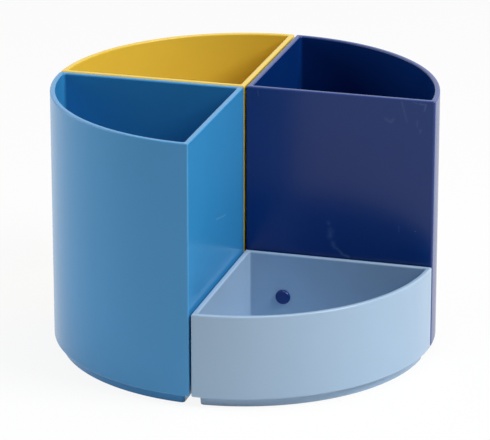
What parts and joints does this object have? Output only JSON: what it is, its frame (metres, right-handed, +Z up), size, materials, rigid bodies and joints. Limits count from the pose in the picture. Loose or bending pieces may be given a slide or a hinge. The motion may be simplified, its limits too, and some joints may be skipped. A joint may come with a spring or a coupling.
{
  "type": "desk organizer",
  "caption": "Round desk organizer of quarter-round open pots, tall for pens and low for clips, pegged together through their flat walls into one drum.",
  "frame": {"origin": "on the desk plane, below the drum's centre line where the four pots meet", "axes": "+Z up; the low tray is in the quarter with +X and -Y; flat walls lie along X and Y"},
  "size_m": [0.13, 0.13, 0.0895],
  "materials": {
    "navy_plastic": "satin",
    "yellow_plastic": "satin",
    "mid_blue_plastic": "satin",
    "pale_blue_plastic": "satin"
  },
  "bodies": {
    "navy_pot": {"navy_pen_pot": "navy_plastic"},
    "yellow_pot": {"yellow_pen_pot": "yellow_plastic"},
    "mid_blue_pot": {"mid_blue_pen_pot": "mid_blue_plastic"},
    "clip_tray": {"pale_blue_clip_tray": "pale_blue_plastic"}
  },
  "joints": [
    {"name": "navy_pull_off", "type": "slide", "parent": "yellow_pot", "child": "navy_pot", "axis": [1, 0, 0], "range_m": [0, 0.03]},
    {"name": "mid_blue_pull_off", "type": "slide", "parent": "yellow_pot", "child": "mid_blue_pot", "axis": [0, -1, 0], "range_m": [0, 0.03]},
    {"name": "tray_pull_off", "type": "slide", "parent": "mid_blue_pot", "child": "clip_tray", "axis": [1, 0, 0], "range_m": [0, 0.03]}
  ],
  "couplings": [
    {"joint": "tray_pull_off", "follows": "navy_pull_off", "ratio": 1}
  ]
}
